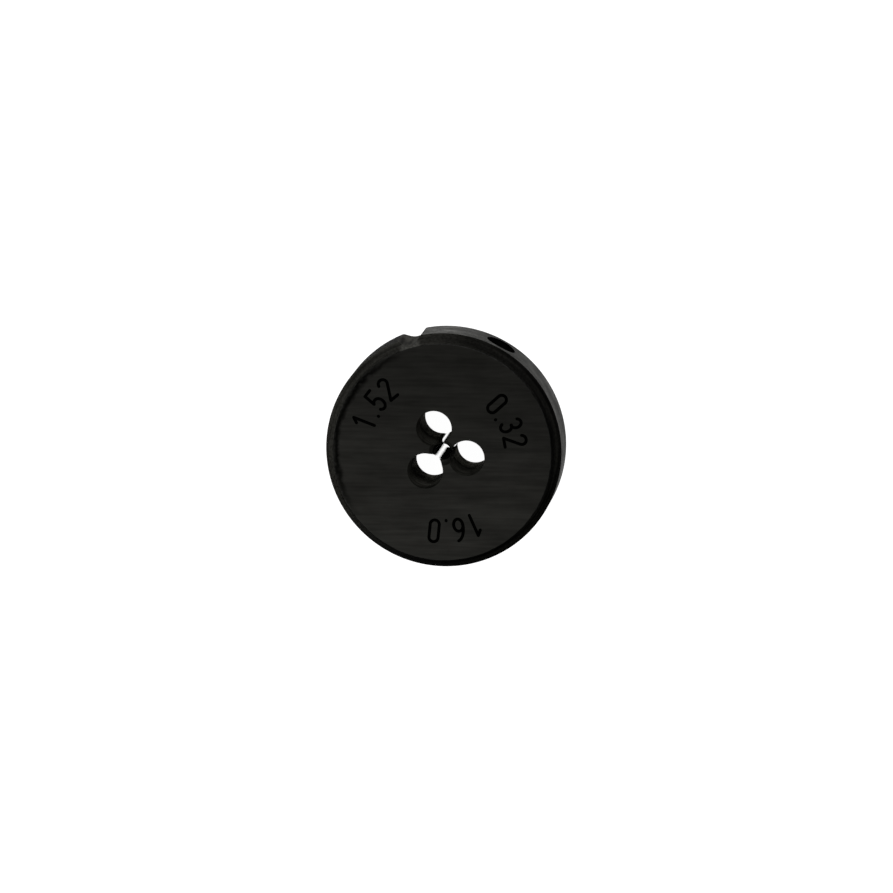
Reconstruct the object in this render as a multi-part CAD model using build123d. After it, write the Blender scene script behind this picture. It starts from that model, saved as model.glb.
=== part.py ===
from build123d import *
import os
from math import radians, sin, sqrt, tan

os.makedirs("parts", exist_ok=True)

# A round screw-cutting die: one hardened steel disc, threaded through its
# middle, with three chip holes that cut the thread into three lands. It lies
# on its unmarked face, its axis is +Z and its V-groove points to +Y.
# Millimetres and degrees.

# Body
body_diameter = 16.0
body_thickness = 5.0
edge_bevel_radial = 0.61        # the wide bevel round both faces
edge_bevel_axial = 0.95
bevel_corner_radius = 0.05      # where the bevels meet the rim and the faces

# Threaded bore, drawn at the crests of its teeth; the helix isn't cut here
thread_crest_diameter = 1.04
start_mouth_diameter = 1.78     # the lead-in cone on the marked face
back_mouth_diameter = 1.24      # the smaller one on the back
lead_in_angle = 70.0            # included

# Chip holes: each one breaks into the bore, which leaves a land between two
chip_hole_count = 3
chip_hole_diameter = 2.42
chip_hole_break_in = 0.035      # how far a chip hole reaches past the crests
first_chip_hole_angle = 91.3    # a little past the groove, as drilled

# V-groove along the rim, with a well-rounded floor
groove_angle = 90.0
groove_depth = 0.55
groove_included_angle = 90.0
groove_floor_radius = 0.70
groove_mouth_radius = 0.25      # where its walls meet the rim

# Conical seats in the rim for the screws of the die holder
seat_angles_from_groove = (-45.0, 45.0)
seat_mouth_diameter = 2.25
seat_cone_angle = 90.0

cut_margin = 1.0                # how far each cutter stands clear of the steel

body_radius = body_diameter / 2
crest_radius = thread_crest_diameter / 2
chip_hole_radius = chip_hole_diameter / 2
chip_hole_circle_radius = crest_radius + chip_hole_radius - chip_hole_break_in
mid_height = body_thickness / 2


def turned_blank():
    """The disc as it leaves the lathe, with its two bevelled edges."""
    face_radius = body_radius - edge_bevel_radial
    section = Polyline(
        (0, 0),
        (face_radius, 0),
        (body_radius, edge_bevel_axial),
        (body_radius, body_thickness - edge_bevel_axial),
        (face_radius, body_thickness),
        (0, body_thickness),
        close=True,
    )
    profile = make_face(section)
    outer_corners = profile.vertices().filter_by(lambda corner: corner.X > face_radius / 2)
    profile = fillet(outer_corners, bevel_corner_radius)
    return revolve(Plane.XZ * profile, Axis.Z)


def threaded_bore():
    """The bore at the thread's crests, opened by a lead-in cone at each face."""
    bore = Cylinder(
        crest_radius,
        body_thickness + 2 * cut_margin,
        align=(Align.CENTER, Align.CENTER, Align.MIN),
    )
    bore = Pos(0, 0, -cut_margin) * bore
    flare = tan(radians(lead_in_angle / 2))
    for mouth_diameter, is_start in ((start_mouth_diameter, True), (back_mouth_diameter, False)):
        mouth_radius = mouth_diameter / 2
        depth = (mouth_radius - crest_radius) / flare
        lead_in = Cone(mouth_radius, crest_radius, depth)
        if is_start:
            bore += Pos(0, 0, body_thickness - depth / 2) * (Rot(180, 0, 0) * lead_in)
        else:
            bore += Pos(0, 0, depth / 2) * lead_in
    return bore


def chip_holes():
    """The straight holes round the bore, through the whole thickness."""
    ring = PolarLocations(
        chip_hole_circle_radius, chip_hole_count, start_angle=first_chip_hole_angle
    )
    drill = Cylinder(chip_hole_radius, body_thickness + 2 * cut_margin)
    return [Pos(0, 0, mid_height) * (place * drill) for place in ring]


def rim_groove():
    """The V-groove along the rim, rounded at its floor and at its mouth."""
    half_angle = radians(groove_included_angle / 2)
    floor_to_sharp_corner = groove_floor_radius * (1 / sin(half_angle) - 1)
    sharp_corner_radius = body_radius - groove_depth - floor_to_sharp_corner
    # where a wall of the V reaches the rim, and a wing along the rim from there
    rise = 1 / tan(half_angle)
    square = 1 + rise**2
    middle = sharp_corner_radius * rise
    corner_x = (
        sqrt(middle**2 - square * (sharp_corner_radius**2 - body_radius**2)) - middle
    ) / square
    corner_y = sharp_corner_radius + corner_x * rise
    wing_x = corner_x + cut_margin * corner_y / body_radius
    wing_y = corner_y - cut_margin * corner_x / body_radius
    top_y = body_radius + cut_margin
    section = Polyline(
        (0, sharp_corner_radius),
        (corner_x, corner_y),
        (wing_x, wing_y),
        (wing_x, top_y),
        (-wing_x, top_y),
        (-wing_x, wing_y),
        (-corner_x, corner_y),
        close=True,
    )
    profile = make_face(section)
    floor_corner = profile.vertices().sort_by(Axis.Y)[0]
    profile = fillet(floor_corner, groove_floor_radius)
    mouth_corners = profile.vertices().filter_by(
        lambda corner: abs(abs(corner.X) - corner_x) < 0.001 and corner.Y < body_radius
    )
    profile = fillet(mouth_corners, groove_mouth_radius)
    cutter = extrude(profile, body_thickness + 2 * cut_margin)
    return Rot(0, 0, groove_angle - 90) * (Pos(0, 0, -cut_margin) * cutter)


def conical_seats():
    """The screw seats, sunk into the rim at mid-thickness."""
    flare = tan(radians(seat_cone_angle / 2))
    seat_depth = seat_mouth_diameter / 2 / flare
    cone_height = seat_depth + cut_margin
    cone = Cone(0, cone_height * flare, cone_height)
    centre_radius = body_radius + cut_margin - cone_height / 2
    radial_cone = Pos(centre_radius, 0, mid_height) * (Rot(0, 90, 0) * cone)
    return [
        Rot(0, 0, groove_angle + angle) * radial_cone
        for angle in seat_angles_from_groove
    ]


threading_die = turned_blank() - threaded_bore() - chip_holes()
threading_die = threading_die - rim_groove() - conical_seats()
threading_die.label = "threading_die"

export_step(threading_die, "parts/threading_die.step")
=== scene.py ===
from math import acos, cos, pi, radians, sin, sqrt, tan

import bmesh
import bpy
from mathutils import Matrix, Vector


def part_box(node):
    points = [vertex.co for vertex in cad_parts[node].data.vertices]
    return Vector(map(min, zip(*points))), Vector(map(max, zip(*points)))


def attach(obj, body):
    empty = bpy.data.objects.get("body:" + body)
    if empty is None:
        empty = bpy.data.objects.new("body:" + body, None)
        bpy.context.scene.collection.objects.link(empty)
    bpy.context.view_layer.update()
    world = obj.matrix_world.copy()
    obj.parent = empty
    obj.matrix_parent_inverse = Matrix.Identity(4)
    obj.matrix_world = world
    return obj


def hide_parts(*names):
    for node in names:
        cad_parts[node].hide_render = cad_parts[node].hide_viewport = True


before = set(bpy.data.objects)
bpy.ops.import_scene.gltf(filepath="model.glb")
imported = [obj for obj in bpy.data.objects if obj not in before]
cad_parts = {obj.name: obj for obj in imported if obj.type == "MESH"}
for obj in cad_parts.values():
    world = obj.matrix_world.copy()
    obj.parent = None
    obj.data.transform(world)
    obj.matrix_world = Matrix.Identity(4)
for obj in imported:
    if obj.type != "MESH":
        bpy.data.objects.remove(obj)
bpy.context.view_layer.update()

# The die is modelled in millimetres and shrunk to metres at the end. Its
# materials, the camera and the lamps are in metres throughout.
perMetre = 1000
low, high = (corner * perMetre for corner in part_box("threading_die"))
dieRadius = (high[0] - low[0]) / 2
dieThickness = high[2] - low[2]
middle = dieThickness / 2
grooveAngle = 90.0              # from +X
beyond = 0.4                    # how far cutters stand out of the steel
tiny = 1e-4                     # closer than this is the same place


# selecting and shaping

def deselectAll():
    if bpy.context.mode != "OBJECT":
        bpy.ops.object.mode_set(mode="OBJECT")
    bpy.ops.object.select_all(action="DESELECT")


def selectOnly(thing):
    deselectAll()
    thing.select_set(True)
    bpy.context.view_layer.objects.active = thing


def named(name):
    thing = bpy.context.object
    thing.name = thing.data.name = name
    return thing


# enters edit mode with the faces or edges that pass the test selected
def pick(thing, kind, test):
    selectOnly(thing)
    bpy.ops.object.mode_set(mode="EDIT")
    bpy.ops.mesh.select_mode(type=kind)
    bpy.ops.mesh.select_all(action="DESELECT")
    mesh = bmesh.from_edit_mesh(thing.data)
    for element in mesh.faces if kind == "FACE" else mesh.edges:
        element.select = test(element)
    mesh.select_flush_mode()
    bmesh.update_edit_mesh(thing.data)
    return mesh


def settle(thing):
    selectOnly(thing)
    bpy.ops.object.transform_apply(location=True, rotation=True, scale=True)


# extrudes both flat ends of an upright round, widening them by slope
def pullEnds(thing, lowEnd, highEnd, reach, slope):
    for z, way in ((highEnd, 1), (lowEnd, -1)):
        mesh = pick(thing, "FACE", lambda face: abs(face.calc_center_median().z - z) < tiny)
        corners = [v.co.copy() for v in mesh.verts if v.select]
        centre = sum(corners, Vector()) / len(corners)
        grow = 1 + reach * slope / (corners[0] - centre).length
        bpy.ops.mesh.extrude_region_move(TRANSFORM_OT_translate={"value": (0, 0, reach * way)})
        bpy.ops.transform.resize(value=(grow, grow, 1), center_override=centre)
        bpy.ops.object.mode_set(mode="OBJECT")


def faceOutwards(thing):
    pick(thing, "FACE", lambda face: True)
    bpy.ops.mesh.normals_make_consistent(inside=False)
    if bmesh.from_edit_mesh(thing.data).calc_volume(signed=True) < 0:
        bpy.ops.mesh.flip_normals()
    bpy.ops.object.mode_set(mode="OBJECT")


# takes the cutter out of the steel; the cut faces get the material
def cutWith(steel, cutter, material):
    cutter.data.materials.clear()
    cutter.data.materials.append(material)
    faceOutwards(cutter)
    selectOnly(steel)
    cut = steel.modifiers.new("cut", "BOOLEAN")
    cut.operation = "DIFFERENCE"
    cut.solver = "MANIFOLD"
    cut.material_mode = "TRANSFER"
    cut.object = cutter
    bpy.ops.object.modifier_apply(modifier=cut.name)
    bpy.data.objects.remove(cutter, do_unlink=True)


def turnedCopy(thing, angle):
    copy = thing.copy()
    copy.data = thing.data.copy()
    bpy.context.collection.objects.link(copy)
    copy.rotation_euler.z = radians(angle)
    settle(copy)
    return copy


# materials

def addNode(material, kind, **inputs):
    node = material.node_tree.nodes.new(kind)
    for name, value in inputs.items():
        node.inputs[name].default_value = value
    return node


def link(material, source, target):
    material.node_tree.links.new(source, target)


def newMaterial(name, metallic, roughness, colour=(0.8, 0.8, 0.8)):
    material = bpy.data.materials.new(name)
    material.use_nodes = True
    shader = material.node_tree.nodes["Principled BSDF"]
    shader.inputs["Metallic"].default_value = metallic
    shader.inputs["Roughness"].default_value = roughness
    shader.inputs["Base Color"].default_value = (*colour, 1)
    return material, shader


def grey(value, warmth=0.0):
    return (value * (1 + warmth / 3), value, value * (1 - 2 * warmth))


# edge is how much of a mirror the metal becomes when seen along its surface
def newSteel(name, edge, warmth=0.0):
    material, shader = newMaterial(name, 1.0, 0.5)
    shader.inputs["Specular Tint"].default_value = (*grey(edge, warmth), 1)
    return material, shader


# each value is a number or the output of another node
def maths(material, operation, *values):
    node = addNode(material, "ShaderNodeMath")
    node.operation = operation
    for socket, value in zip(node.inputs, values):
        if isinstance(value, (int, float)):
            socket.default_value = value
        else:
            link(material, value, socket)
    return node.outputs[0]


def vectorMaths(material, operation, vector, other=(0, 0, 0)):
    node = addNode(material, "ShaderNodeVectorMath")
    node.operation = operation
    link(material, vector, node.inputs[0])
    node.inputs[1].default_value = other
    return node.outputs["Value"]


# Object coordinates, turned about Z and then stretched
def objectPlace(material, turn=0, stretch=(1, 1, 1)):
    coordinates = addNode(material, "ShaderNodeTexCoord")
    turned = addNode(material, "ShaderNodeMapping", Rotation=(0, 0, radians(turn)))
    stretched = addNode(material, "ShaderNodeMapping", Scale=stretch)
    link(material, coordinates.outputs["Object"], turned.inputs["Vector"])
    link(material, turned.outputs["Vector"], stretched.inputs["Vector"])
    return stretched.outputs["Vector"]


# noise with this many waves to the metre along X, Y and Z
def grain(material, waves, detail=3, roughness=0.6, turn=0):
    noise = addNode(material, "ShaderNodeTexNoise", Scale=1, Detail=detail, Roughness=roughness)
    link(material, objectPlace(material, turn, waves), noise.inputs["Vector"])
    return noise.outputs["Fac"]


# runs softly from 0 to 1 as the source goes from start to end
def softStep(material, source, start, end):
    spread = addNode(material, "ShaderNodeMapRange")
    spread.interpolation_type = "SMOOTHSTEP"
    spread.inputs["From Min"].default_value = min(start, end)
    spread.inputs["From Max"].default_value = max(start, end)
    spread.inputs["To Min"].default_value = 0.0 if start < end else 1.0
    spread.inputs["To Max"].default_value = 1.0 if start < end else 0.0
    link(material, source, spread.inputs["Value"])
    return spread.outputs["Result"]


# from 0 to 1 between two places along a line from the axis at this angle from +X
def across(material, angle, start, end):
    split = addNode(material, "ShaderNodeSeparateXYZ")
    link(material, objectPlace(material, -angle), split.inputs["Vector"])
    return softStep(material, split.outputs["X"], start, end)


# from 0 to 1 between two heights
def upwards(material, start, end):
    split = addNode(material, "ShaderNodeSeparateXYZ")
    link(material, objectPlace(material), split.inputs["Vector"])
    return softStep(material, split.outputs["Z"], start, end)


# 1 within the inner distance of a place, 0 beyond the outer one
def spot(material, place, inner, outer):
    away = vectorMaths(material, "DISTANCE", objectPlace(material), place)
    return softStep(material, away, outer, inner)


# 1 on a wandering line round the axis, falling to 0 at half its width
def roundLine(material, radius, width, wander, waves):
    fromAxis = vectorMaths(material, "LENGTH", objectPlace(material, 0, (1, 1, 0)))
    stray = grain(material, (waves, waves, 1))
    strayed = maths(material, "MULTIPLY_ADD", stray, wander, fromAxis)
    away = maths(material, "SUBTRACT", strayed, radius + wander / 2)
    return softStep(material, maths(material, "ABSOLUTE", away), width / 2, 0)


def ramp(material, source, stops):
    node = addNode(material, "ShaderNodeValToRGB")
    elements = node.color_ramp.elements
    while len(elements) < len(stops):
        elements.new(0.5)
    for element, (position, colour) in zip(elements, stops):
        element.position = position
        element.color = (*colour, 1)
    link(material, source, node.inputs["Fac"])
    return node.outputs["Color"]


# from one grey to another; start is where it leaves the first, as far from 0 as its end is from 1
def shade(material, source, first, last, start=0.35, warmth=0.0):
    return ramp(material, source, ((start, grey(first, warmth)), (1 - start, grey(last, warmth))))


def mixColour(material, blend, amount, first, second):
    node = addNode(material, "ShaderNodeMix")
    node.data_type = "RGBA"
    node.blend_type = blend
    if isinstance(amount, float):
        node.inputs["Factor"].default_value = amount
    else:
        link(material, amount, node.inputs["Factor"])
    link(material, first, node.inputs["A"])
    link(material, second, node.inputs["B"])
    return node.outputs["Result"]


def multiplied(material, colour, *shades):
    for other in shades:
        colour = mixColour(material, "MULTIPLY", 1.0, colour, other)
    return colour


# lets noise, which keeps near its middle, move a value of the shader between low and high
def drive(material, noise, low, high, target):
    spread = addNode(material, "ShaderNodeMapRange")
    spread.inputs["From Min"].default_value = 0.3
    spread.inputs["From Max"].default_value = 0.7
    spread.inputs["To Min"].default_value = low
    spread.inputs["To Max"].default_value = high
    link(material, noise, spread.inputs["Value"])
    link(material, spread.outputs["Result"], target)


def finishWith(material, shader, colour, noise, roughness, bump=None):
    link(material, colour, shader.inputs["Base Color"])
    drive(material, noise, *roughness, shader.inputs["Roughness"])
    if bump:
        strength, distance = bump
        raised = addNode(material, "ShaderNodeBump", Strength=strength, Distance=distance)
        link(material, noise, raised.inputs["Height"])
        link(material, raised.outputs["Normal"], shader.inputs["Normal"])
    return material


faceFinish = {
    "grindAngle": 16.4,         # the grinding lines run this far clockwise of +X
    "greys": (0.0128, 0.0188),
    "warmth": 0.05,
    "edge": 0.5,
    "roughness": (0.38, 0.48),
    "bump": (0.1, 0.00001),     # strength and distance
    # the side towards which the face is painted paler, as painted light
    "paintedLightSide": (235, -0.0065, 0.0065),
    "stainSide": (145, 0.0035, 0.0068),
    "stainRadius": 0.0072,
    "stainWidth": 0.0007,
    "stainWander": 0.0009,
    "stainWaves": 900,
}


# ground flat: straight fine lines over broad soft bands, with a black stain along one edge, and
# painted light making it paler towards one side
def makeFaceSteel():
    material, shader = newSteel("faceSteel", faceFinish["edge"])
    turn = faceFinish["grindAngle"]
    lines = grain(material, (240, 5200, 1), 5, turn=turn)
    bands = grain(material, (90, 900, 1), 4, turn=turn)
    cloud = grain(material, (300, 600, 1), turn=turn)
    base = shade(material, lines, *faceFinish["greys"], 0.3, faceFinish["warmth"])
    streaks = ramp(material, bands, ((0.34, grey(0.78)), (0.5, grey(1.0)), (0.66, grey(1.1))))
    patches = shade(material, cloud, 0.86, 1.14)
    # painted light: the face is paler towards one side, as if lit from there
    paintedLightToSide = shade(material, across(material, *faceFinish["paintedLightSide"]), 0.8, 1.2, 0)
    colour = multiplied(material, base, streaks, patches, paintedLightToSide)
    line = roundLine(
        material, faceFinish["stainRadius"], faceFinish["stainWidth"],
        faceFinish["stainWander"], faceFinish["stainWaves"],
    )
    stained = multiplied(material, colour, shade(material, line, 1.0, 0.12, 0))
    onSide = across(material, *faceFinish["stainSide"])
    colour = mixColour(material, "MIX", onSide, colour, stained)
    return finishWith(material, shader, colour, lines, faceFinish["roughness"], faceFinish["bump"])


bevelFinish = {
    "blackGreys": (0.001, 0.007),
    # the paler greys of the painted light on one side of the bevel
    "paintedLitGreys": (0.011, 0.029),
    "bareGreys": (0.03, 0.055),
    "warmth": 0.05,
    "bareWarmth": 0.04,
    "edge": 0.4,
    "roughness": (0.42, 0.6),
    "bump": (0.2, 0.00001),
    # the side towards which the bevel is painted paler, as light from there
    "paintedLitSide": (147, -0.0005, 0.0065),
    "barePlace": (0, 0.00745, 0.0048),
    "bareReach": (0.0005, 0.00085),
}


# given a black finish, painted paler to one side as if lit from there, and ground bare by the groove
def makeBevelSteel():
    material, shader = newSteel("bevelSteel", bevelFinish["edge"])
    rings = grain(material, (130, 130, 2800))
    specks = grain(material, (7000, 7000, 7000), 2)
    darkest, palest = bevelFinish["blackGreys"]
    black = ramp(
        material, rings, ((0.36, grey(darkest)), (0.64, grey(palest, bevelFinish["warmth"])))
    )
    # painted light: the bevel turns from black to these paler greys towards one side, as if lit from
    # there
    paintedLitBevel = shade(material, rings, *bevelFinish["paintedLitGreys"], 0.36, bevelFinish["warmth"])
    bare = shade(material, rings, *bevelFinish["bareGreys"], 0.36, bevelFinish["bareWarmth"])
    grit = shade(material, specks, 0.65, 1.35)
    colour = mixColour(material, "MIX", across(material, *bevelFinish["paintedLitSide"]), black, paintedLitBevel)
    byGroove = spot(material, bevelFinish["barePlace"], *bevelFinish["bareReach"])
    colour = mixColour(material, "MIX", byGroove, colour, bare)
    colour = multiplied(material, colour, grit)
    return finishWith(material, shader, colour, specks, bevelFinish["roughness"], bevelFinish["bump"])


rimFinish = {
    "greys": (0.085, 0.12),
    "warmth": 0.015,
    "edge": 0.3,
    "roughness": (0.58, 0.72),
    "bump": (0.25, 0.00002),
    # the side towards which the rim is painted darker, as shade
    "paintedShadeSide": (20, 0.0045, 0.0078),
    "paintedShadeEdge": (0, -0.0006, 0.0006),       # across the groove, painted shade to unshaded
    "paintedShadeHalf": (90, -0.007, 0.006),   # the painted shade fades out towards the far side
    "paintedShadeDepth": 0.24,
}


# ground round, so its lines run round the axis; painted shade past the groove and towards one side
def makeRimSteel():
    material, shader = newSteel("rimSteel", rimFinish["edge"])
    lines = grain(material, (140, 140, 7000), 4)
    cloud = grain(material, (1400, 1400, 1400), 5, 0.8)
    specks = grain(material, (9000, 9000, 9000), 2)
    broad = grain(material, (260, 260, 700))
    base = shade(material, lines, *rimFinish["greys"], 0.3, rimFinish["warmth"])
    patches = shade(material, cloud, 0.72, 1.28)
    broadPatches = shade(material, broad, 0.76, 1.22, 0.36)
    # painted shade: the rim is darker towards one side, as if turned from the light
    paintedShadeToSide = shade(material, across(material, *rimFinish["paintedShadeSide"]), 1.05, 0.8, 0)
    grit = shade(material, specks, 0.78, 1.22)
    colour = multiplied(material, base, patches, broadPatches, paintedShadeToSide, grit)
    # painted shade: past the groove the rim is darkened, as if in shade
    towardsUnshaded = across(material, *rimFinish["paintedShadeEdge"])
    paintedShadeColour = multiplied(material, colour, shade(material, towardsUnshaded, rimFinish["paintedShadeDepth"], 1.0, 0))
    onHalf = across(material, *rimFinish["paintedShadeHalf"])
    colour = mixColour(material, "MIX", onHalf, colour, paintedShadeColour)
    return finishWith(material, shader, colour, cloud, rimFinish["roughness"], rimFinish["bump"])


grooveFinish = {
    "greys": (0.026, 0.068),
    "warmth": 0.04,
    "edge": 0.3,
    "roughness": (0.5, 0.62),
    "bump": (0.2, 0.00001),
}


# cut along the axis, and so are its lines
def makeGrooveSteel():
    material, shader = newSteel("grooveSteel", grooveFinish["edge"])
    lines = grain(material, (5200, 5200, 260))
    cloud = grain(material, (1500, 1500, 1500))
    base = shade(material, lines, *grooveFinish["greys"], warmth=grooveFinish["warmth"])
    colour = multiplied(material, base, shade(material, cloud, 0.7, 1.3))
    return finishWith(material, shader, colour, lines, grooveFinish["roughness"], grooveFinish["bump"])


holeFinish = {
    "greys": (0.038, 0.085),
    "warmth": 0.07,
    "edge": 0.1,
    "edgeWarmth": 0.06,
    "metallic": (0.05, 0.75),
    "roughness": (0.46, 0.6),
    "bump": (0.2, 0.00002),
    "paintedShadeHeights": (0.0028, 0.0048),
}


# drilled: faint rings down the wall, smears of black, and painted shade making it darkest near the
# marked face
def makeHoleSteel():
    material, shader = newSteel("holeSteel", holeFinish["edge"], holeFinish["edgeWarmth"])
    shader.inputs["Specular IOR Level"].default_value = 0.0
    rings = grain(material, (500, 500, 2600), 4)
    cloud = grain(material, (1300, 1300, 420))
    drive(material, cloud, *holeFinish["metallic"], shader.inputs["Metallic"])
    base = shade(material, rings, *holeFinish["greys"], warmth=holeFinish["warmth"])
    smears = shade(material, cloud, 0.45, 1.4, 0.38)
    # painted shade: the walls darken towards the marked face, as if shaded there
    paintedShadeNearTop = shade(material, upwards(material, *holeFinish["paintedShadeHeights"]), 1.0, 0.2, 0)
    colour = multiplied(material, base, smears, paintedShadeNearTop)
    return finishWith(material, shader, colour, rings, holeFinish["roughness"], holeFinish["bump"])


leadInFinish = {"greys": (0.011, 0.024), "warmth": 0.05, "edge": 0.15, "roughness": (0.5, 0.6)}


# the lead-in cones, turned and left duller than the faces
def makeLeadInSteel():
    material, shader = newSteel("leadInSteel", leadInFinish["edge"])
    rings = grain(material, (400, 400, 4200))
    colour = shade(material, rings, *leadInFinish["greys"], 0.3, leadInFinish["warmth"])
    return finishWith(material, shader, colour, rings, leadInFinish["roughness"])


blackFinish = {"darkest": 0.0003, "palest": 0.0014, "edge": 0.05, "roughnessSpread": 0.06}


def makeBlack(name, roughness, palest=blackFinish["palest"]):
    material, shader = newSteel(name, blackFinish["edge"])
    cloud = grain(material, (2500, 2500, 2500))
    colour = shade(material, cloud, blackFinish["darkest"], palest, 0.3)
    spread = blackFinish["roughnessSpread"]
    return finishWith(material, shader, colour, cloud, (roughness - spread, roughness + spread))


faceSteel = makeFaceSteel()
bevelSteel = makeBevelSteel()
rimSteel = makeRimSteel()
grooveSteel = makeGrooveSteel()
holeSteel = makeHoleSteel()
leadInSteel = makeLeadInSteel()
edgeBlack = makeBlack("edgeBlack", 0.5, palest=0.02)
# painted shade: the screw seats are near-black, as if their walls lay in shade
seatShadeBlack = makeBlack("seatShadeBlack", 0.5)
threadBlack = makeBlack("threadBlack", 0.4)
markBlack = makeBlack("markBlack", 0.6)
print("materials made")


# the turned disc

disc = {
    "sides": 288,
    "bevelRadial": 0.61,
    "bevelAxial": 0.95,
    "cornerWidth": 0.03,
    "cornerSteps": 4,
    "finishes": (
        # how far the surface leans up or down, at least, and its finish
        (0.98, faceSteel),
        (0.62, edgeBlack),
        (0.25, bevelSteel),
        (0.0, rimSteel),
    ),
}


def turnDisc():
    axial = disc["bevelAxial"]
    bpy.ops.mesh.primitive_cylinder_add(
        vertices=disc["sides"], radius=dieRadius, depth=dieThickness - 2 * axial,
        location=(0, 0, middle),
    )
    steel = named("ground_die")
    settle(steel)
    pullEnds(steel, axial, dieThickness - axial, axial, -disc["bevelRadial"] / axial)
    cornerHeights = (0, axial, dieThickness - axial, dieThickness)

    def isCorner(edge):
        first, second = (v.co.z for v in edge.verts)
        return abs(first - second) < tiny and any(abs(first - z) < tiny for z in cornerHeights)

    pick(steel, "EDGE", isCorner)
    bpy.ops.mesh.bevel(offset=disc["cornerWidth"], segments=disc["cornerSteps"])
    bpy.ops.object.mode_set(mode="OBJECT")
    for leastLean, finish in disc["finishes"]:
        steel.data.materials.append(finish)
    for face in steel.data.polygons:
        lean = abs(face.normal.z)
        reached = [leastLean <= lean for leastLean, finish in disc["finishes"]]
        face.material_index = reached.index(True)
    return steel


# chip holes

chipHole = {
    "count": 3,
    "radius": 1.20,
    "circleRadius": 1.715,
    "firstAngle": 91.3,
    "edgeBreak": 0.02,
    "edgeBreakSlope": 0.5,
    "sides": 96,
}


def drillChipHoles(steel):
    edgeBreak = chipHole["edgeBreak"]
    bpy.ops.mesh.primitive_cylinder_add(
        vertices=chipHole["sides"], radius=chipHole["radius"], depth=dieThickness - 2 * edgeBreak,
        location=(chipHole["circleRadius"], 0, middle),
    )
    drill = named("chipDrill")
    settle(drill)
    reach, slope = edgeBreak + beyond, chipHole["edgeBreakSlope"]
    pullEnds(drill, edgeBreak, dieThickness - edgeBreak, reach, slope)
    for number in range(chipHole["count"]):
        angle = chipHole["firstAngle"] + 360 / chipHole["count"] * number
        cutWith(steel, turnedCopy(drill, angle), holeSteel)
    bpy.data.objects.remove(drill, do_unlink=True)


# the thread

thread = {
    "crestRadius": 0.52,
    "rootRadius": 0.70,
    "pitch": 0.3175,
    "rootFlat": 0.04,
    "crestFlat": 0.035,
    "stepsPerTurn": 96,
    "startMouthRadius": 0.89,
    "backMouthRadius": 0.62,
    "leadInAngle": 35,          # from the axis
    "leadInTip": 0.1,           # how far inside the crests the lead-in cones end
}


# a right-hand screw of the thread's own shape, to cut the lands with
def makeTap():
    pitch, crest, root = thread["pitch"], thread["crestRadius"], thread["rootRadius"]
    flank = (pitch - thread["rootFlat"] - thread["crestFlat"]) / 2
    heights = (0, flank, flank + thread["rootFlat"], 2 * flank + thread["rootFlat"], pitch)
    radii = (crest, root, root, crest, crest)
    bpy.ops.mesh.primitive_circle_add(vertices=len(radii), fill_type="NOTHING")
    tap = named("tap")
    for corner, radius, height in zip(tap.data.vertices, radii, heights):
        corner.co = (radius, 0, height - beyond)
    first, last = 0, len(radii) - 1
    pick(tap, "EDGE", lambda edge: {v.index for v in edge.verts} == {first, last})
    bpy.ops.mesh.delete(type="EDGE")
    bpy.ops.object.mode_set(mode="OBJECT")
    wind = tap.modifiers.new("wind", "SCREW")
    wind.screw_offset = pitch
    wind.iterations = int((dieThickness + 2 * beyond) / pitch) + 1
    wind.steps = wind.render_steps = thread["stepsPerTurn"]
    bpy.ops.object.modifier_apply(modifier=wind.name)
    pick(tap, "EDGE", lambda edge: True)
    bpy.ops.mesh.remove_doubles(threshold=tiny * 5)
    bpy.ops.mesh.select_all(action="DESELECT")
    bpy.ops.mesh.select_non_manifold()
    bpy.ops.mesh.fill_holes(sides=0)
    bpy.ops.object.mode_set(mode="OBJECT")
    return tap


def cutThread(steel):
    cutWith(steel, makeTap(), threadBlack)
    slope = tan(radians(thread["leadInAngle"]))
    for face, way in ((dieThickness, 1), (0, -1)):
        mouth = thread["startMouthRadius"] if way > 0 else thread["backMouthRadius"]
        tip = thread["crestRadius"] - thread["leadInTip"]
        height = (mouth - tip) / slope + beyond
        bpy.ops.mesh.primitive_cone_add(
            vertices=thread["stepsPerTurn"], radius1=tip, radius2=mouth + beyond * slope,
            depth=height, rotation=(0 if way > 0 else pi, 0, 0),
            location=(0, 0, face + way * (beyond - height / 2)),
        )
        cone = named("leadIn")
        settle(cone)
        cutWith(steel, cone, leadInSteel)


# groove and screw seats in the rim

groove = {
    "depth": 0.55,
    "wallAngle": 45,            # of each wall, from the middle of the V
    "floorRadius": 0.70,
    "mouthRadius": 0.25,
    "steps": 10,
}
seat = {"angles": (-45, 45), "mouthRadius": 1.125, "sides": 96, "tipRadius": 0.06}


# one half of the section that is cut away, as places out along the radius and sideways
def halfGroove():
    wall = radians(groove["wallAngle"])
    floorRadius, mouthRadius, steps = groove["floorRadius"], groove["mouthRadius"], groove["steps"]
    floorCentre = dieRadius - groove["depth"] + floorRadius
    places = []
    for step in range(steps + 1):
        around = (pi / 2 - wall) * step / steps
        places.append((floorCentre - floorRadius * cos(around), floorRadius * sin(around)))
    sharp = floorCentre - floorRadius / sin(wall)
    reach = sqrt(dieRadius ** 2 - (sharp * sin(wall)) ** 2) - sharp * cos(wall)
    corner = Vector((sharp + reach * cos(wall), reach * sin(wall)))
    upWall = Vector((cos(wall), sin(wall)))
    alongRim = Vector((-corner.y, corner.x)) / dieRadius
    bend = acos(upWall.dot(alongRim))
    start = corner - upWall * mouthRadius * tan(bend / 2)
    centre = start + Vector((-upWall.y, upWall.x)) * mouthRadius
    for step in range(steps + 1):
        around = wall + bend * step / steps
        spot = centre + Vector((sin(around), -cos(around))) * mouthRadius
        places.append(tuple(spot))
    places.append(tuple(corner + alongRim * beyond))
    places.append((dieRadius + beyond, places[-1][1]))
    return places


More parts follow.
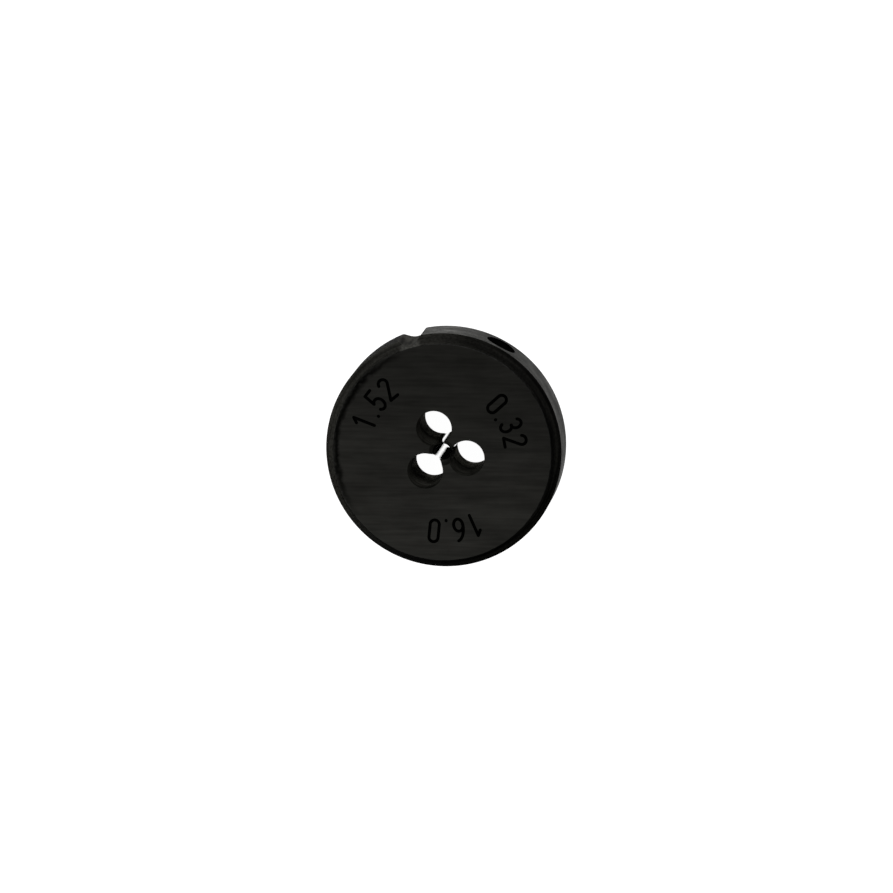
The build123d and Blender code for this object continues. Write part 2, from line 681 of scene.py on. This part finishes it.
def cutGroove(steel):
    half = halfGroove()
    places = half + [(out, -side) for out, side in reversed(half[1:])]
    bpy.ops.mesh.primitive_circle_add(vertices=len(places), fill_type="NGON")
    bar = named("grooveBar")
    for corner, (out, side) in zip(bar.data.vertices, places):
        corner.co = (out, side, -beyond)
    pick(bar, "FACE", lambda face: True)
    bpy.ops.mesh.extrude_region_move(
        TRANSFORM_OT_translate={"value": (0, 0, dieThickness + 2 * beyond)}
    )
    bpy.ops.object.mode_set(mode="OBJECT")
    bar.rotation_euler.z = radians(grooveAngle)
    settle(bar)
    cutWith(steel, bar, grooveSteel)


def cutSeats(steel):
    mouth, tip = seat["mouthRadius"], seat["tipRadius"]
    height = mouth + beyond
    bpy.ops.mesh.primitive_cone_add(
        vertices=seat["sides"], radius1=tip, radius2=height, depth=height - tip,
        location=(dieRadius + beyond - (height - tip) / 2, 0, middle), rotation=(0, pi / 2, 0),
    )
    cone = named("seatDrill")
    settle(cone)
    # the seats get the near-black of painted shade
    for angle in seat["angles"]:
        cutWith(steel, turnedCopy(cone, grooveAngle + angle), seatShadeBlack)
    bpy.data.objects.remove(cone, do_unlink=True)


steel = turnDisc()
print("disc turned:", len(steel.data.polygons), "faces")
drillChipHoles(steel)
cutThread(steel)
print("holes and thread cut:", len(steel.data.polygons), "faces")
cutGroove(steel)
cutSeats(steel)
print("rim cut:", len(steel.data.polygons), "faces")


# engraved numbers: plain sizes in millimetres, read clockwise, tops outwards

marks = {
    "height": 1.5,              # between the middles of the strokes
    "width": 0.62,
    "strokeRadius": 0.125,
    "strokeLift": 0.06,
    "spacing": 1.1,
    "dotSpacing": 0.62,
    "dotLength": 0.03,
    "tubeSteps": 3,
    # how far past the stroke's end, and how thick there, in stroke radii
    "taper": ((0.85, 0.5), (0.5, 0.85)),
}
markGroups = (
    # text, angle from +X, radius of its middle
    ("1.52", 128.3, 5.65),
    ("0.32", 9.3, 5.05),
    ("16.0", -97.7, 5.4),
)


# points on an ellipse, from one angle to another, in degrees
def arc(centre, radii, start, end, steps=14):
    turn = (end - start) / steps
    angles = [radians(start + turn * number) for number in range(steps + 1)]
    return [(centre[0] + radii[0] * cos(a), centre[1] + radii[1] * sin(a)) for a in angles]


# a character as strokes, each a row of points, from its lower middle
def digitStrokes(character):
    half, tall = marks["width"] / 2, marks["height"]
    bowl = tall * 0.28          # half the height of the bowl of a 5 or 6
    ends = (half, half)
    if character == "0":
        top = arc((0, tall - half), ends, 0, 180)
        bottom = arc((0, half), ends, 180, 360)
        return [top + bottom + top[:1]]
    if character == "1":
        return [[(-half * 0.7, tall * 0.8), (half * 0.2, tall)], [(half * 0.2, tall), (half * 0.2, 0)]]
    if character == "2":
        top = arc((0, tall - half), ends, 170, -25)
        return [top + [(-half, 0)], [(-half, 0), (half, 0)]]
    if character == "3":
        upper = arc((0, tall * 0.76), (half * 0.95, tall * 0.24), 150, -90)
        lower = arc((0, bowl), (half, bowl * 0.93), 90, -150)
        return [upper, lower]
    if character == "5":
        body = arc((-half * 0.1, bowl), (half * 1.05, bowl), 140, -140, 20)
        return [[(half * 0.9, tall), (-half * 0.8, tall)], [(-half * 0.8, tall), body[0]], body]
    if character == "6":
        loop = arc((0, bowl), (half, bowl), 180, 540, 24)
        stem = arc((half, bowl), (half * 2, tall - bowl), 180, 100)
        return [loop, stem]
    return [[(0, 0), (0, marks["dotLength"])]]


# one pass of a round-nosed cutter, tapered where it enters and leaves
def cutStroke(steel, points, place):
    radius = marks["strokeRadius"]
    closed = points[0] == points[-1]
    line = bpy.data.curves.new("stroke", "CURVE")
    line.dimensions = "3D"
    line.bevel_depth = radius
    line.bevel_resolution = marks["tubeSteps"]
    line.use_fill_caps = True
    spots = [Vector((x, y, 0)) for x, y in (points[:-1] if closed else points)]
    sizes = [1.0] * len(spots)
    if not closed:
        startWay = (spots[0] - spots[1]).normalized() * radius
        endWay = (spots[-1] - spots[-2]).normalized() * radius
        entry = [spots[0] + startWay * past for past, size in marks["taper"]]
        leave = [spots[-1] + endWay * past for past, size in reversed(marks["taper"])]
        entrySizes = [size for past, size in marks["taper"]]
        spots = entry + spots + leave
        sizes = entrySizes + sizes + entrySizes[::-1]
    spline = line.splines.new("POLY")
    spline.points.add(len(spots) - 1)
    for point, spot, size in zip(spline.points, spots, sizes):
        point.co = (*spot, 1)
        point.radius = size
    spline.use_cyclic_u = closed
    stroke = bpy.data.objects.new("stroke", line)
    bpy.context.collection.objects.link(stroke)
    selectOnly(stroke)
    bpy.ops.object.convert(target="MESH")
    stroke = bpy.context.object
    pick(stroke, "FACE", lambda face: True)
    bpy.ops.mesh.remove_doubles(threshold=tiny)
    bpy.ops.object.mode_set(mode="OBJECT")
    stroke.matrix_world = place
    settle(stroke)
    cutWith(steel, stroke, markBlack)


def engrave(steel, text, angle, radius):
    spacings = [marks["dotSpacing"] if character == "." else marks["spacing"] for character in text]
    centres = [sum(spacings[:number]) + spacing / 2 for number, spacing in enumerate(spacings)]
    for character, centre in zip(text, centres):
        along = (centre - sum(spacings) / 2) / radius
        turn = radians(angle) - along
        lift = dieThickness + marks["strokeLift"]
        upright = Matrix.Translation((0, radius - marks["height"] / 2, lift))
        place = Matrix.Rotation(turn - pi / 2, 4, "Z") @ upright
        for points in digitStrokes(character):
            cutStroke(steel, points, place)


for text, angle, radius in markGroups:
    engrave(steel, text, angle, radius)
print("numbers engraved:", len(steel.data.polygons), "faces")


# to metres, and smooth where the surface turns gently
smoothing = {"angle": 30, "flatFaceWeight": 100}

steel.scale = [1 / perMetre] * 3
settle(steel)
bpy.ops.object.shade_smooth_by_angle(angle=radians(smoothing["angle"]))
weigh = steel.modifiers.new("weigh", "WEIGHTED_NORMAL")
weigh.keep_sharp = True
weigh.weight = smoothing["flatFaceWeight"]
bpy.ops.object.modifier_apply(modifier=weigh.name)
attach(steel, "root")
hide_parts("threading_die")


# floor, light and camera

# 1 for camera, glossy and transmission rays, 0 for the rest
def isShown(material):
    path = addNode(material, "ShaderNodeLightPath")
    shown = maths(material, "MAXIMUM", path.outputs["Is Camera Ray"], path.outputs["Is Glossy Ray"])
    return maths(material, "MAXIMUM", shown, path.outputs["Is Transmission Ray"])


studio = {
    "floorSize": 3.0,
    "floorGap": 0.00001,        # keeps the floor and the back face from sharing a plane
    "floorColour": (0.3, 0.3, 0.3),
    "floorGlow": 0.975,
    "worldLight": 0.8,
    "backdropWhite": 1.0,
}


def layFloor():
    bpy.ops.mesh.primitive_plane_add(size=studio["floorSize"], location=(0, 0, -studio["floorGap"]))
    floor = named("floor")
    material, shader = newMaterial("floorWhite", 0, 0.9, studio["floorColour"])
    shader.inputs["Specular IOR Level"].default_value = 0
    shader.inputs["Emission Color"].default_value = (1, 1, 1, 1)
    glow = maths(material, "MULTIPLY", isShown(material), studio["floorGlow"])
    link(material, glow, shader.inputs["Emission Strength"])
    floor.data.materials.append(material)


def lightWorld():
    world = bpy.data.worlds.new("studio")
    bpy.context.scene.world = world
    world.use_nodes = True
    tree = world.node_tree
    background = tree.nodes["Background"]
    background.inputs["Color"].default_value = (1, 1, 1, 1)
    path = tree.nodes.new("ShaderNodeLightPath")
    strength = tree.nodes.new("ShaderNodeMapRange")
    strength.inputs["To Min"].default_value = studio["worldLight"]
    strength.inputs["To Max"].default_value = studio["backdropWhite"]
    tree.links.new(path.outputs["Is Camera Ray"], strength.inputs["Value"])
    tree.links.new(strength.outputs["Result"], background.inputs["Strength"])


view = {
    "tilt": 12.57,              # from straight above
    "leanAngle": 39.8,          # the way the camera leans, from +X
    "imageTurn": 16.44,         # +X points this far above the picture's right
    "distance": 0.45,
    "frameWidth": 0.0601,
    "shift": (0.0052, 0.0069),
}


def placeCamera():
    data = bpy.data.cameras.new("camera")
    camera = bpy.data.objects.new("camera", data)
    bpy.context.collection.objects.link(camera)
    data.lens = data.sensor_width * view["distance"] / view["frameWidth"]
    data.shift_x, data.shift_y = view["shift"]
    lean = radians(view["leanAngle"] + 90)
    turn = (
        Matrix.Rotation(lean, 4, "Z")
        @ Matrix.Rotation(radians(view["tilt"]), 4, "X")
        @ Matrix.Rotation(-lean - radians(view["imageTurn"]), 4, "Z")
    )
    target = Matrix.Translation((0, 0, dieThickness / perMetre))
    camera.matrix_world = target @ turn @ Matrix.Translation((0, 0, view["distance"]))
    bpy.context.scene.camera = camera


lamps = {
    # name: (direction angle from +X, height angle, distance, size, watts)
    "key": (60, 35, 0.35, 0.25, 0.6),
    "fill": (205, 30, 0.30, 0.20, 0.25),
}


def hangLamps():
    for name, (angle, heightAngle, distance, size, watts) in lamps.items():
        data = bpy.data.lights.new(name, "AREA")
        data.shape = "DISK"
        data.size = size
        data.energy = watts
        lamp = bpy.data.objects.new(name, data)
        bpy.context.collection.objects.link(lamp)
        around, up = radians(angle), radians(heightAngle)
        way = Vector((cos(around) * cos(up), sin(around) * cos(up), sin(up)))
        lamp.location = way * distance
        lamp.rotation_euler = way.to_track_quat("Z", "Y").to_euler()


layFloor()
lightWorld()
hangLamps()
placeCamera()
bpy.context.scene.view_settings.view_transform = "Standard"
print("floor, light and camera placed")
